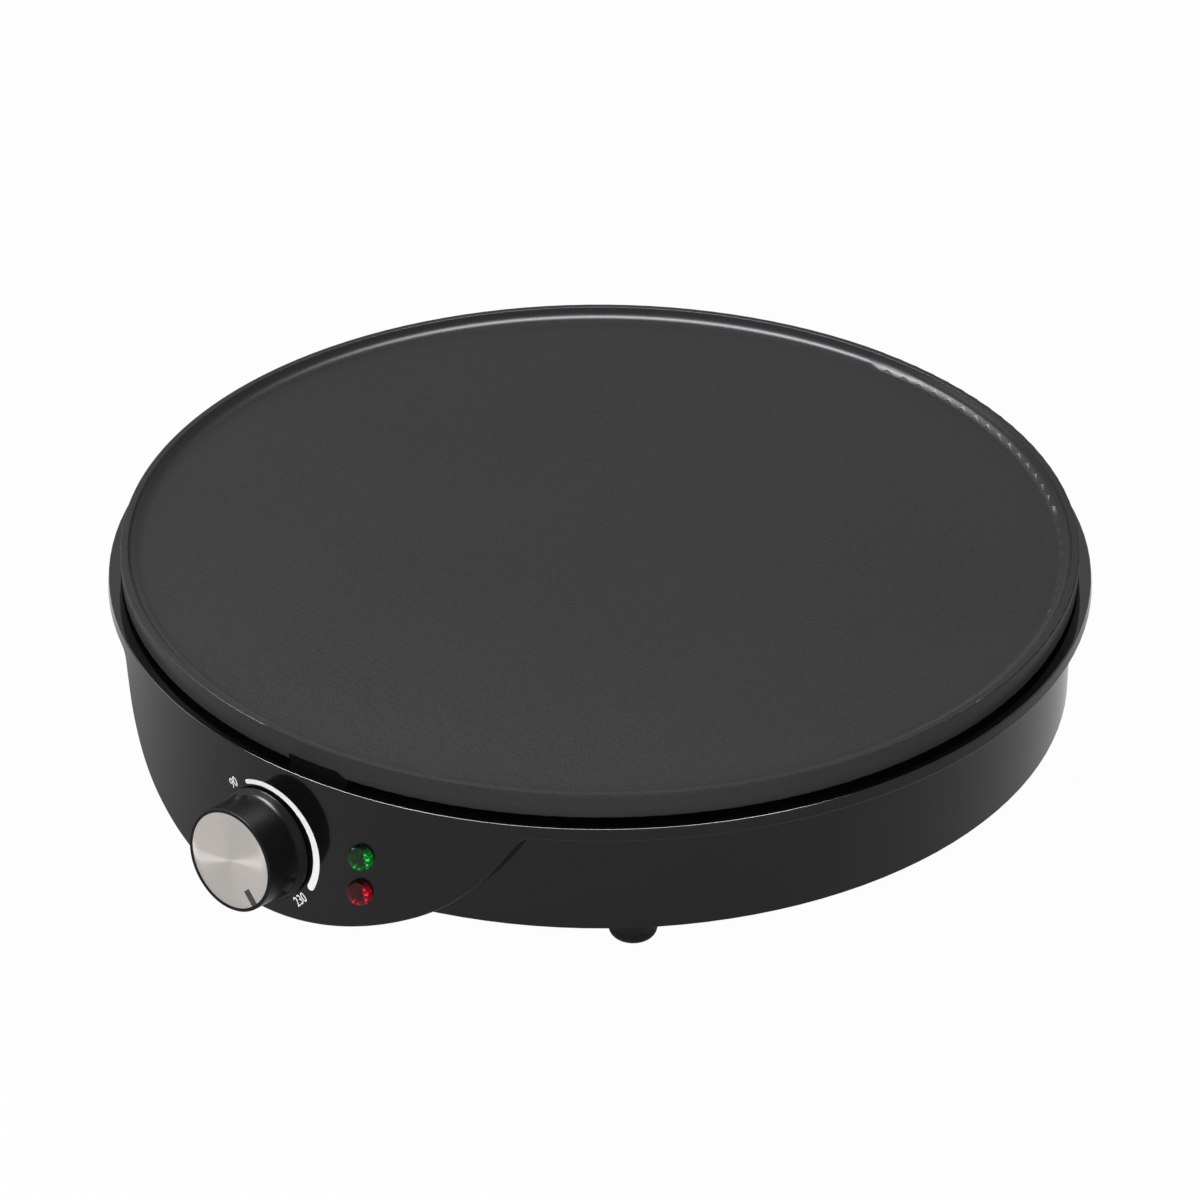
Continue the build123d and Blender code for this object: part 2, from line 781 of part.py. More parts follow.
def knob_cap():
    seat = knob_plane.offset(knob_l - cap_recess)
    return extrude(seat * (Circle(cap_r) - cap_slot(0)), amount=cap_t)


def knob_pointer():
    seat = knob_plane.offset(knob_l - cap_recess)
    shape = cap_slot(push_gap / 2) & Circle(cap_r)
    return extrude(seat * shape, amount=cap_t - pointer_inset)


def knob_clip():
    ring = Circle(hub_r + running_gap + clip_t) - Circle(hub_r + running_gap)
    opening = make_face(Polyline(
        (0, 0), (2 * hub_r * sin(radians(clip_split / 2)), 2 * hub_r),
        (-2 * hub_r * sin(radians(clip_split / 2)), 2 * hub_r), close=True))
    seat = knob_plane.offset(bush_out + 3 * seat_gap)
    return extrude(seat * (ring - opening), amount=clip_w)


def on_dial(angle, r):
    """A point on the dial, by its angle clockwise from up."""
    return (r * sin(radians(angle)), r * cos(radians(angle)))


def dial_arc():
    middle, mean_w = (arc_cold_angle + arc_hot_angle) / 2, (arc_cold_w + arc_hot_w) / 2
    cold_in, cold_out = on_dial(arc_cold_angle, arc_in_r), on_dial(arc_cold_angle, arc_in_r + arc_cold_w)
    hot_in, hot_out = on_dial(arc_hot_angle, arc_in_r), on_dial(arc_hot_angle, arc_in_r + arc_hot_w)
    end_turn = degrees(arc_cold_w / 2 / arc_in_r), degrees(arc_hot_w / 2 / arc_in_r)
    cold_tip = on_dial(arc_cold_angle - end_turn[0], arc_in_r + arc_cold_w / 2)
    hot_tip = on_dial(arc_hot_angle + end_turn[1], arc_in_r + arc_hot_w / 2)
    outline = make_face([
        ThreePointArc(cold_in, on_dial(middle, arc_in_r), hot_in),
        ThreePointArc(hot_in, hot_tip, hot_out),
        ThreePointArc(hot_out, on_dial(middle, arc_in_r + mean_w), cold_out),
        ThreePointArc(cold_out, cold_tip, cold_in),
    ])
    band = extrude(knob_plane.offset(-wall) * outline, amount=2 * wall)
    return band & (inside_panel(-print_t, flange_bottom) - inside_panel(0, flange_bottom))


def lens(plane):
    """A cup-shaped lens, its flange behind the panel."""
    back = -wall - 2 * push_gap - lens_flange_t
    front = back + lens_flange_t
    return turned_on(
        plane,
        [
            (lens_r - lens_wall, back), (lens_flange_r, back), (lens_flange_r, front),
            (lens_r, front), (lens_r, lens_out), (0, lens_out), (0, lens_out - lens_wall),
            (lens_r - lens_wall, lens_out - lens_wall),
        ],
        [((lens_r, lens_out), lens_round)],
    )


def lamp(plane):
    """A neon lamp whose rounded tip stands in the lens."""
    tip = lens_out - lens_wall - 2 * seat_gap
    return turned_on(
        plane,
        [(0, tip - lamp_l), (lamp_r, tip - lamp_l), (lamp_r, tip), (0, tip)],
        [((lamp_r, tip), lamp_tip_round)],
    )


def lamp_holder():
    front = -wall - 2 * push_gap - lens_flange_t
    between = (green_plane.origin + red_plane.origin) / 2
    spacing = (green_plane.origin - red_plane.origin).length
    plane = Plane(origin=between, x_dir=green_plane.x_dir, z_dir=green_plane.z_dir)
    outline = Rot(0, 0, 90) * SlotOverall(spacing + 2 * holder_half_w, 2 * holder_half_w)
    body = extrude(plane.offset(front - push_gap) * outline, amount=-holder_t)
    for lamp_plane in (green_plane, red_plane):
        body -= disc(lamp_plane, lamp_r + push_gap, front - 2 * holder_t, 0)
    return body


def lamp_wires():
    side = behind_panel(pad_depth + stat_d / 2)
    wires = []
    for plane, rise in ((green_plane, 1), (red_plane, -1)):
        start = plane.origin + plane.z_dir * (lens_out - lens_wall - 2 * seat_gap - lamp_l)
        out = start - plane.z_dir * lamp_wire_run
        end = Vector(stat_w / 2 + joint_gap, side.Y, side.Z + rise * lamp_wire_rise)
        before = end + Vector(lamp_wire_run, lamp_r, 0)
        wires.append(tube([tuple(start), tuple(out), tuple(before), tuple(end)], lamp_wire_r))
    return group(wires)


def well(shrink):
    """The room from the well's back wall forwards, inside the panel's edge."""
    return panel_room(wall + seat_gap + shrink, well_back_y + cover_t - shrink)


def bottom_cover():
    body = upright(0, 0, skirt_in_r - seat_gap, cover_bottom, cover_top)
    body += well(0) & inside_panel(wall + seat_gap, cover_top)
    body -= well(cover_t)
    first = -vent_pitch * (vent_count - 1) / 2
    for x in (-vent_x, vent_x):
        for row in range(vent_count):
            slot = Pos(x, first + row * vent_pitch, cover_bottom - past) * SlotOverall(vent_l, vent_w)
            body -= extrude(slot, amount=cover_t + 2 * past)
    for azimuth in post_azimuths:
        x, y, _ = at(azimuth, post_circle_r)
        body -= upright(x, y, small_screw_r + push_gap, cover_bottom - past, cover_top + past)
    for azimuth in leg_azimuths:
        x, y, _ = at(azimuth, leg_circle_r)
        body -= upright(x, y, small_screw_r + push_gap, cover_bottom - past, cover_top + past)
    for x in (-clamp_half_x, clamp_half_x):
        body += upright(x, clamp_y, clamp_post_r, cover_top - past, clamp_seat)
        body -= upright(x, clamp_y, small_screw_r + thread_gap, cover_top, clamp_seat + past)
    saddle_half_x = clamp_half_x - clamp_post_r + past
    saddle = box(
        (-saddle_half_x, saddle_half_x),
        (clamp_y - clamp_bar_w / 4, clamp_y + clamp_bar_w / 4), (cover_top - past, gland_z))
    cord = disc(Plane(origin=(0, 0, gland_z), z_dir=(0, 1, 0)), gland_bore_r, 0, far)
    return body + (saddle - cord)


def leg_posts():
    legs = []
    for azimuth in leg_azimuths:
        x, y, _ = at(azimuth, leg_circle_r)
        leg = upright(x, y, leg_r, tip_h, cover_bottom)
        leg -= upright(x, y, tip_stem_r + push_gap, 0, tip_h + tip_stem_h + seat_gap)
        leg -= upright(x, y, small_screw_r + thread_gap, cover_bottom - leg_hole, rim_top)
        legs.append(leg)
    return group(legs)


def leg_screws():
    heads = []
    for azimuth in leg_azimuths:
        seat = Plane(origin=at(azimuth, leg_circle_r, cover_top), z_dir=(0, 0, -1))
        heads.append(screw(
            seat, small_screw_r, small_head_r, small_head_h, cover_t + leg_hole * thread_fill,
            small_head_r / 2))
    return group(heads)


def rubber_feet():
    feet = []
    for azimuth in leg_azimuths:
        x, y, _ = at(azimuth, leg_circle_r)
        plane = Plane(origin=(x, y, 0), x_dir=(1, 0, 0), z_dir=(0, 0, 1))
        feet.append(turned_on(
            plane,
            [(0, 0), (leg_r, 0), (leg_r, tip_h), (tip_stem_r, tip_h),
             (tip_stem_r, tip_h + tip_stem_h), (0, tip_h + tip_stem_h)],
            [((leg_r, 0), tip_round)],
        ))
    return group(feet)


def cover_screws():
    return screws_at(
        post_azimuths, post_circle_r, cover_bottom, small_screw_r, small_head_r, small_head_h,
        cover_t + post_hole * thread_fill)


def cord_gland():
    body = turned_on(
        gland_plane,
        [
            (gland_bore_r, -wall - gland_tail), (gland_barrel_r, -wall - gland_tail),
            (gland_barrel_r, 0), (gland_flange_r, 0), (gland_flange_r, gland_flange_t),
            (gland_bore_r, gland_flange_t),
        ],
        [((gland_flange_r, gland_flange_t), gland_flange_t / 2)],
    )
    return body


def cord_clamp():
    plane = Plane(origin=(0, clamp_y, clamp_seat))
    bar = extrude(plane * SlotOverall(2 * (clamp_half_x + clamp_bar_w / 2), clamp_bar_w),
                  amount=clamp_bar_t)
    for x in (-clamp_half_x, clamp_half_x):
        bar -= upright(x, clamp_y, small_screw_r + push_gap, clamp_seat - past, rim_top)
    return bar


def clamp_screws():
    heads = []
    for x in (-clamp_half_x, clamp_half_x):
        seat = Plane(origin=(x, clamp_y, clamp_seat + clamp_bar_t), z_dir=(0, 0, -1))
        length = clamp_bar_t + (clamp_seat - cover_top) * thread_fill
        heads.append(screw(
            seat, small_screw_r, small_head_r, small_head_h / 2, length, small_head_r / 2))
    return group(heads)


def terminal_block():
    body = box(
        (-block_l / 2, block_l / 2), (block_y - block_d / 2, block_y + block_d / 2),
        (cover_top, cover_top + block_h))
    for x in (-block_pitch, 0, block_pitch):
        through = Plane(origin=(x, 0, wire_level), z_dir=(0, 1, 0))
        body -= disc(through, wire_r + push_gap, 0, far)
        body -= upright(x, block_y, small_screw_r + push_gap, wire_level, rim_top)
    return body


def terminal_screws():
    heads = []
    for x in (-block_pitch, 0, block_pitch):
        top = cover_top + block_h
        seat = Plane(origin=(x, block_y, top), z_dir=(0, 0, -1))
        heads.append(screw(
            seat, small_screw_r, small_head_r, small_head_h / 2,
            top - wire_level - wire_r - seat_gap, small_head_r / 2))
    return group(heads)


def live_wire():
    tab = behind_panel(pad_depth + stat_d + tab_l + joint_gap)
    points = [
        (0, block_y, wire_level), (0, block_front - wire_lead, wire_level),
        (-block_pitch / 2, 0, low_level), (-tab_x, tab.Y / 2, low_level),
        (-tab_x, tab.Y + tab_lead, tab.Z), (-tab_x, tab.Y, tab.Z),
    ]
    return tube(points, wire_r)


def element_wire():
    tab = behind_panel(pad_depth + stat_d + tab_l + joint_gap)
    pin = cold_end(outer_ring_r)[2]
    points = [
        (tab_x, tab.Y, tab.Z), (tab_x, pin.Y - pin_lead, low_level),
        (pin.X, pin.Y, low_level), (pin.X, pin.Y, cold_end_z - pin_l - joint_gap),
    ]
    return tube(points, wire_r)


def neutral_wire():
    x, y = wire_holes[1]
    points = [
        (-fuse_l / 2 - joint_gap, fuse_y, sensor_z), (x, y, sensor_z),
        (x, y, wire_level + 2 * wire_r), (x, neutral_turn_y, wire_level),
        (-block_pitch, block_front - wire_lead, wire_level), (-block_pitch, block_y, wire_level),
    ]
    return tube(points, wire_r)


def fuse_wire():
    x, y = wire_holes[2]
    pin = cold_end(inner_ring_r)[2]
    points = [
        (fuse_l / 2 + joint_gap, fuse_y, sensor_z), (x, y, sensor_z),
        (x, y, wire_level + 2 * wire_r), (x, fuse_turn_y, wire_level),
        (pin.X + fuse_turn_run, pin.Y + fuse_turn_run, low_level),
        (pin.X, pin.Y, low_level), (pin.X, pin.Y, cold_end_z - pin_l - joint_gap),
    ]
    return tube(points, wire_r)


def earth_wire():
    x, y = wire_holes[3]
    tag = Plane(origin=(0, earth_boss_y, sensor_strap_top), z_dir=(0, 0, -1))
    ring = disc(tag, tag_r, 0, tag_t) - disc(tag, screw_r + push_gap, -past, 2 * tag_t)
    points = [
        (screw_head_r + seat_gap, y, sensor_strap_top - wire_r),
        (x, y, sensor_strap_top - wire_r),
        (x, y, wire_level + 2 * wire_r), (block_pitch, block_front - wire_lead, wire_level),
        (block_pitch, block_y, wire_level),
    ]
    return tube(points, wire_r) + ring


nodes = {
    "griddle_plate": griddle_plate, "base_housing": base_housing,
    "plate_spacers": plate_spacers, "plate_screws": plate_screws,
    "heating_element": heating_element, "element_seals": element_seals,
    "element_pins": element_pins, "element_straps": element_straps,
    "strap_screws": strap_screws, "heat_reflector": heat_reflector,
    "reflector_screws": reflector_screws, "sensor_bulb": sensor_bulb,
    "capillary_tube": capillary_tube, "thermal_fuse": thermal_fuse,
    "sensor_strap": sensor_strap, "sensor_strap_screw": sensor_strap_screw,
    "earth_screw": earth_screw, "thermostat_body": thermostat_body,
    "thermostat_tabs": thermostat_tabs, "thermostat_bush": thermostat_bush,
    "bush_nut": bush_nut, "thermostat_shaft": thermostat_shaft, "knob_body": knob_body,
    "knob_cap": knob_cap, "knob_pointer": knob_pointer, "knob_clip": knob_clip,
    "dial_arc": dial_arc, "green_lens": lambda: lens(green_plane),
    "red_lens": lambda: lens(red_plane), "green_lamp": lambda: lamp(green_plane),
    "red_lamp": lambda: lamp(red_plane), "lamp_holder": lamp_holder, "lamp_wires": lamp_wires,
    "bottom_cover": bottom_cover, "leg_posts": leg_posts, "leg_screws": leg_screws,
    "rubber_feet": rubber_feet, "cover_screws": cover_screws, "cord_gland": cord_gland,
    "cord_clamp": cord_clamp, "clamp_screws": clamp_screws, "terminal_block": terminal_block,
    "terminal_screws": terminal_screws, "live_wire": live_wire, "element_wire": element_wire,
    "neutral_wire": neutral_wire, "fuse_wire": fuse_wire, "earth_wire": earth_wire,
}

os.makedirs("parts", exist_ok=True)
for node, make in nodes.items():
    shape = make()
    print(node, len(shape.solids()), round(shape.volume, 1))
    export_step(shape, f"parts/{node}.step")
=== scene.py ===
from math import atan2, cos, hypot, pi, radians, sin, tan

import bpy
from mathutils import Matrix, Vector


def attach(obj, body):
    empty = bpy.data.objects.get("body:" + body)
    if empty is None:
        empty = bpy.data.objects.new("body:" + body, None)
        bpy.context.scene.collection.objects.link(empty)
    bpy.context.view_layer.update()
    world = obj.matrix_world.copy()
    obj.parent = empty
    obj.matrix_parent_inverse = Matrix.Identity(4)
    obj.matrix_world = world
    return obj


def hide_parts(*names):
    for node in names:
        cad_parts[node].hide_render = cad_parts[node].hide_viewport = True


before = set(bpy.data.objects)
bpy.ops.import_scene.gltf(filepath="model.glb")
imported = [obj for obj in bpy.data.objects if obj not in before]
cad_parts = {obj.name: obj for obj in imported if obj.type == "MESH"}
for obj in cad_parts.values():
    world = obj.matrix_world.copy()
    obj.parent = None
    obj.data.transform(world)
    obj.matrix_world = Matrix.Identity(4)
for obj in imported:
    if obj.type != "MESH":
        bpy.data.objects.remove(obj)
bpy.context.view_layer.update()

bl_info = {
    "name": "Electric Crepe Maker",
    "version": (1, 0, 0),
    "blender": (4, 5, 0),
    "location": "View3D > Sidebar > Crepe Maker",
    "description": "Finishes the packed crepe maker: plate, base, knob, dial, lenses and stage",
    "category": "Object",
}

# Metres. The origin is on the table under the middle of the plate, +Z is up and the control
# panel faces -Y. An angle on the dial is measured clockwise from up.
FLANGE_RADIUS = 0.1648
FLANGE_TOP = 0.064
PANEL_TILT = radians(6.0)
KNOB_HEIGHT = 0.03505
KNOB_LENGTH = 0.0161
CAP_RECESS = 0.0009
LENS_AZIMUTH = radians(12.8)
GREEN_HEIGHT = 0.04325
RED_HEIGHT = 0.03085

# The knob's metal face, and the cutter of the slot that the pointer lies in
FACE_THICKNESS = 0.0008
FACE_VERTICES = 144
FACE_RINGS = 5
FACE_BEVEL = 0.0001
SLOT_SIZE = (0.0027, 0.03, 0.004)
SLOT_MIDDLE = 0.0257

# The printed numbers
INK_THICKNESS = 0.00012
DIGIT_SHARE = 0.7  # a digit's height against the font's size

# A lens, along its own axis: 0 is the panel's face, and the front is positive.
LENS_BACK = -0.0037
LENS_FRONT = 0.0024
LENS_FACE = 0.0012
LENS_WALL = 0.0011
LENS_FLANGE_RADIUS = 0.0052
LENS_FLANGE = 0.001
LENS_RINGS = 3
FACET_DEPTH = 0.0007
# How far in from the wall, and down from the front, each point of the rounded edge lies
LENS_EDGE = ((0.0, 0.0009), (0.00012, 0.00045), (0.00045, 0.00012), (0.0009, 0.0))

# The stage
FLOOR_RADIUS = 6.0
FLOOR_GLOW = 0.97  # the share of the floor, where it is seen, that glows and takes no shadow
FLOOR_MIRRORED = 0.5  # the share of that glow that a reflection shows
CAMERA_PLACE = (0.87624, -1.07281, 0.89687)
CAMERA_ANGLES = (39.24, 58.43, 0.108)  # degrees: heading, pitch and roll
CAMERA_LENS = 144.0  # millimetres, as is the sensor's width
CAMERA_SENSOR = 36.0

# Each soft box: its name, the power setting it follows and its share of that, its size, its
# distance from the origin, its angles in degrees, round from the front and up, and the kind of
# light that it leaves out.
SOFT_BOXES = (
    ("left_soft_box", "key", 1.0, (0.6, 0.6), 1.4, -68.0, 26.0, None),
    ("front_soft_box", "front", 1.0, (1.3, 0.5), 1.3, 35.0, 20.0, "visible_glossy"),
    ("overhead_soft_box", "sheen", 1.0, (0.9, 0.45), 1.5, -140.8, 76.0, "visible_diffuse"),
    ("rear_soft_box", "sheen", 0.32, (0.35, 0.35), 1.5, -102.0, 60.0, "visible_diffuse"),
)


def srgb(code):
    """A hex colour, as a screen shows it, turned to linear light."""
    parts = [int(code[i : i + 2], 16) / 255 for i in (0, 2, 4)]
    light = [c / 12.92 if c <= 0.04045 else ((c + 0.055) / 1.055) ** 2.4 for c in parts]
    return (*light, 1.0)


def add(tree, kind, values=(), **settings):
    """Adds one node, with its settings and with a value or a link for each named input."""
    node = tree.nodes.new("ShaderNode" + kind)
    for name, value in settings.items():
        setattr(node, name, value)
    for socket, value in values:
        if isinstance(value, bpy.types.NodeSocket):
            tree.links.new(value, node.inputs[socket])
        else:
            node.inputs[socket].default_value = value
    return node


def new_finish(name, colour, roughness, metallic=0.0, **inputs):
    """A material with its shader, and the Object coordinates that its patterns read."""
    material = bpy.data.materials.new(name)
    material.use_nodes = True
    tree = material.node_tree
    shader = tree.nodes["Principled BSDF"]
    shader.inputs["Base Color"].default_value = colour
    shader.inputs["Roughness"].default_value = roughness
    shader.inputs["Metallic"].default_value = metallic
    for socket, value in inputs.items():
        shader.inputs[socket.replace("_", " ")].default_value = value
    place = add(tree, "TexCoord").outputs["Object"]
    return material, tree, shader, place


def grain(tree, place, spacing, detail=2.0, roughness=0.5):
    """Noise whose cells are about this far apart, in metres."""
    values = [
        ("Vector", place), ("Scale", 1 / spacing), ("Detail", detail), ("Roughness", roughness)]
    return add(tree, "TexNoise", values).outputs["Fac"]


def between(tree, factor, low, high, start=0.3, end=0.7):
    """A number that goes from low to high as the factor goes from start to end."""
    values = [
        ("Value", factor), ("From Min", start), ("From Max", end), ("To Min", low),
        ("To Max", high)]
    return add(tree, "MapRange", values).outputs["Result"]


def tint(tree, factor, first, second):
    """A colour that goes from the first to the second with the factor."""
    return add(tree, "Mix", [(0, factor), (6, first), (7, second)], data_type="RGBA").outputs[2]


def raised(tree, shader, height, distance):
    """Bumps the shader's surface by a height of 0 to 1, at this real depth in metres."""
    bump = add(tree, "Bump", [("Height", height), ("Distance", distance)])
    tree.links.new(bump.outputs["Normal"], shader.inputs["Normal"])


def shade(colour, share):
    """A colour made darker or lighter by a share."""
    return (*(min(c * share, 1.0) for c in colour[:3]), 1.0)


# Finishes


def nonstick_coating(colour, spacing):
    """Sprayed non-stick coating on cast aluminium: soft sheen, with a fine pale speckle."""
    material, tree, shader, place = new_finish(
        "nonstick_coating", colour, roughness=0.3, metallic=0.15, IOR=1.15)
    fine = grain(tree, place, spacing, detail=3.0, roughness=0.7)
    clouds = grain(tree, place, spacing=0.09, detail=1.0)
    base = tint(tree, between(tree, clouds, 0.0, 1.0), shade(colour, 0.92), shade(colour, 1.1))
    specks = between(tree, fine, 0.0, 1.0, start=0.35, end=0.75)
    speckle = tint(tree, specks, base, shade(colour, 1.3))
    tree.links.new(speckle, shader.inputs["Base Color"])
    tree.links.new(between(tree, fine, 0.27, 0.34), shader.inputs["Roughness"])
    raised(tree, shader, fine, distance=0.000012)
    return material


def glossy_moulding(colour):
    """Black ABS from a polished mould: clear reflections over a very slight orange peel."""
    material, tree, shader, place = new_finish(
        "glossy_abs_moulding", colour, roughness=0.07, IOR=1.34)
    peel = grain(tree, place, spacing=0.006, detail=1.0)
    clouds = grain(tree, place, spacing=0.05, detail=2.0)
    tree.links.new(between(tree, clouds, 0.055, 0.09), shader.inputs["Roughness"])
    raised(tree, shader, peel, distance=0.0000015)
    return material


def satin_moulding(name, colour, roughness, spacing, depth, index=1.5):
    """Black thermoplastic from a spark-eroded mould: a dull sheen over a fine even grain."""
    material, tree, shader, place = new_finish(name, colour, roughness, IOR=index)
    fine = grain(tree, place, spacing, detail=2.0)
    dull = between(tree, fine, roughness * 0.88, roughness * 1.12)
    tree.links.new(dull, shader.inputs["Roughness"])
    raised(tree, shader, fine, depth)
    return material


def spun_aluminium(colour, roughness):
    """Aluminium turned on a lathe and clear lacquered: fine rings that fan the light out."""
    material, tree, shader, _ = new_finish(
        "spun_aluminium", colour, roughness, metallic=1.0, Anisotropic=1.0)
    turn = add(tree, "UVMap", uv_map="turned")
    radius = add(tree, "SeparateXYZ", [("Vector", turn.outputs["UV"])]).outputs["Y"]
    rings = add(
        tree, "TexNoise", [("W", radius), ("Scale", 70.0), ("Detail", 4.0)], noise_dimensions="1D")
    tone = tint(tree, rings.outputs["Fac"], shade(colour, 0.93), shade(colour, 1.05))
    tree.links.new(tone, shader.inputs["Base Color"])
    tangent = add(tree, "Tangent", direction_type="UV_MAP", uv_map="turned")
    tree.links.new(tangent.outputs["Tangent"], shader.inputs["Tangent"])
    return material


def clear_lens(name, colour):
    """Tinted polycarbonate, moulded clear: small prisms inside, with painted prism shade in its
    colour and painted glints at its edge.
    """
    material, tree, shader, _ = new_finish(
        name, colour, roughness=0.04, IOR=1.3, Transmission_Weight=0.85, Emission_Color=colour)
    plan = add(tree, "UVMap", uv_map="across").outputs["UV"]
    prisms = add(tree, "TexVoronoi", [("Vector", plan), ("Scale", 4.0)]).outputs["Distance"]
    edges = between(tree, prisms, 0.0, 1.0, start=0.1, end=0.5)
    # Painted prism shade: the colour is lighter in the middle of each prism and dark at its edges.
    depth = tint(tree, edges, shade(colour, 1.2), shade(colour, 0.2))
    tree.links.new(depth, shader.inputs["Base Color"])
    glints = []
    # Painted glints that glow in two crescents: each one's direction, and where on the radius it
    # starts.
    for direction, start in (((0.95, 0.2, 0), 0.52), ((-0.5, -0.86, 0), 0.62)):
        along = add(tree, "VectorMath", [(0, plan), (1, direction)], operation="DOT_PRODUCT")
        glints.append(between(tree, along.outputs["Value"], 0.0, 1.0, start, start + 0.12))
    painted_glint = add(tree, "Math", [(0, glints[0]), (1, glints[1])], operation="MAXIMUM").outputs[0]
    # The painted glints glow brightest in the middle of each prism.
    broken = between(tree, prisms, 4.4, 0.2, start=0.1, end=0.45)
    lit = add(tree, "Math", [(0, painted_glint), (1, broken)], operation="MULTIPLY").outputs[0]
    # The lens glows with these painted glints, though it is no lamp.
    tree.links.new(lit, shader.inputs["Emission Strength"])
    return material


def printed_ink(colour):
    """Pad-printed white ink: flat and slightly uneven where it thins."""
    material, tree, shader, place = new_finish("printed_white_ink", colour, roughness=0.45)
    fine = grain(tree, place, spacing=0.0008, detail=2.0)
    tree.links.new(tint(tree, fine, shade(colour, 0.94), colour), shader.inputs["Base Color"])
    return material


def bare_metal(name, colour, roughness, spacing, stain=None):
    """A plain metal surface, as drawn, pressed or plated, with a faint uneven tone."""
    material, tree, shader, place = new_finish(name, colour, roughness, metallic=1.0)
    cloud = grain(tree, place, spacing, detail=3.0)
    tone = tint(tree, between(tree, cloud, 0.0, 1.0), colour, stain or shade(colour, 0.85))
    tree.links.new(tone, shader.inputs["Base Color"])
    dull = between(tree, cloud, roughness * 0.8, roughness * 1.25)
    tree.links.new(dull, shader.inputs["Roughness"])
    raised(tree, shader, grain(tree, place, spacing / 8, detail=1.0), distance=0.00001)
    return material


def fired_ceramic(colour):
    """Unglazed steatite, pressed and fired: chalky, with a fine grain."""
    material, tree, shader, place = new_finish("fired_steatite", colour, roughness=0.7)
    fine = grain(tree, place, spacing=0.0006, detail=3.0)
    tree.links.new(tint(tree, fine, shade(colour, 0.9), colour), shader.inputs["Base Color"])
    raised(tree, shader, fine, distance=0.00003)
    return material


def moulded_nylon(colour):
    """Off-white glass-filled nylon: a dull surface with faint flow marks."""
    material, tree, shader, place = new_finish("moulded_nylon", colour, roughness=0.5)
    flow = grain(tree, place, spacing=0.004, detail=3.0)
    tree.links.new(tint(tree, flow, shade(colour, 0.93), colour), shader.inputs["Base Color"])
    raised(tree, shader, flow, distance=0.00002)
    return material


def wire_sleeve(name, colour, second=None):
    """Insulation on a stranded wire: silicone or glass fibre, with a faint or striped tone."""
    material, tree, shader, place = new_finish(name, colour, roughness=0.55)
    weave = add(tree, "TexWave", [("Vector", place), ("Scale", 250.0), ("Distortion", 1.0)])
    sharp = between(tree, weave.outputs["Fac"], 0.0, 1.0, start=0.45, end=0.55)
    tone = tint(tree, sharp, colour, second or shade(colour, 0.88))
    tree.links.new(tone, shader.inputs["Base Color"])
    raised(tree, shader, weave.outputs["Fac"], distance=0.00003)
    return material


def lit_bulb(name, colour):
    """Phosphor-coated glass of a small neon lamp, dimly lit all over."""
    material, tree, shader, place = new_finish(
        name, shade(colour, 0.5), roughness=0.12, IOR=1.5, Emission_Color=colour,
        Emission_Strength=0.5)
    ripple = grain(tree, place, spacing=0.003, detail=1.0)
    raised(tree, shader, ripple, distance=0.00001)
    return material


def moulded_rubber(colour):
    """Black rubber, moulded: matt, with a soft bloom on it."""
    material, tree, shader, place = new_finish("moulded_rubber", colour, roughness=0.7, IOR=1.3)
    bloom = grain(tree, place, spacing=0.01, detail=4.0)
    tree.links.new(tint(tree, bloom, colour, shade(colour, 1.5)), shader.inputs["Base Color"])
    raised(tree, shader, grain(tree, place, spacing=0.0005), distance=0.00003)
    return material


# Modelling helpers


def deselect_all():
    """Leaves Edit Mode, with nothing selected."""
    if bpy.context.mode != "OBJECT":
        bpy.ops.object.mode_set(mode="OBJECT")
    bpy.ops.object.select_all(action="DESELECT")


def choose(piece):
    """Makes one piece the only one selected, and the active one."""
    deselect_all()
    piece.select_set(True)
    bpy.context.view_layer.objects.active = piece


def edit(piece):
    """Opens one piece in Edit Mode, where faces are picked."""
    choose(piece)
    bpy.ops.object.mode_set(mode="EDIT")
    bpy.ops.mesh.select_mode(type="FACE")


def set_down(piece, origin, sideways, outwards):
    """Moves a piece from its own axes to a place on the panel, and keeps that place in its mesh."""
    side, out = sideways.normalized(), outwards.normalized()
    turn = Matrix((side, out.cross(side), out)).transposed().to_4x4()
    choose(piece)
    piece.matrix_world = Matrix.Translation(origin) @ turn
    bpy.ops.object.transform_apply(location=True, rotation=True, scale=True)


def apply_modifier(piece, kind, **settings):
    """Adds a modifier with its settings and applies it."""
    choose(piece)
    modifier = piece.modifiers.new(kind.title(), kind)
    for name, value in settings.items():
        setattr(modifier, name, value)
    bpy.ops.object.modifier_apply(modifier=modifier.name)


def give(material, *names):
    """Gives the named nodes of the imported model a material."""
    for name in names:
        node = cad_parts[name]
        node.data.materials.clear()
        node.data.materials.append(material)


def panel_radius(height):
    """Radius of the panel's leaning face at a height."""
    return FLANGE_RADIUS + (FLANGE_TOP - height) * tan(PANEL_TILT)


def panel_axes(azimuth, height):
    """Origin, sideways and outwards of the panel's face at an azimuth from the front."""
    radius, level = panel_radius(height), cos(PANEL_TILT)
    origin = Vector((radius * sin(azimuth), -radius * cos(azimuth), height))
    sideways = Vector((cos(azimuth), sin(azimuth), 0))
    outwards = Vector((sin(azimuth) * level, -cos(azimuth) * level, sin(PANEL_TILT)))
    return origin, sideways, outwards


def on_panel(right, up, lift):
    """A point of the dial's plane, pressed onto the curved panel and lifted off it a little."""
    origin, sideways, outwards = panel_axes(0.0, KNOB_HEIGHT)
    point = origin + sideways * right + outwards.cross(sideways) * up
    for _ in range(6):
        gap = (panel_radius(point.z) + lift - hypot(point.x, point.y)) * cos(PANEL_TILT)
        point += outwards * gap
    return point


# Settings


class PlateSettings(bpy.types.PropertyGroup):
    coating: bpy.props.FloatVectorProperty(
        name="Coating", description="Colour of the non-stick coating",
        subtype="COLOR", size=4, min=0, max=1, default=srgb("2E2E2F"))
    grit: bpy.props.FloatProperty(
        name="Grit", description="Spacing of the coating's speckle",
        unit="LENGTH", default=0.0009, min=0.0001, max=0.01)


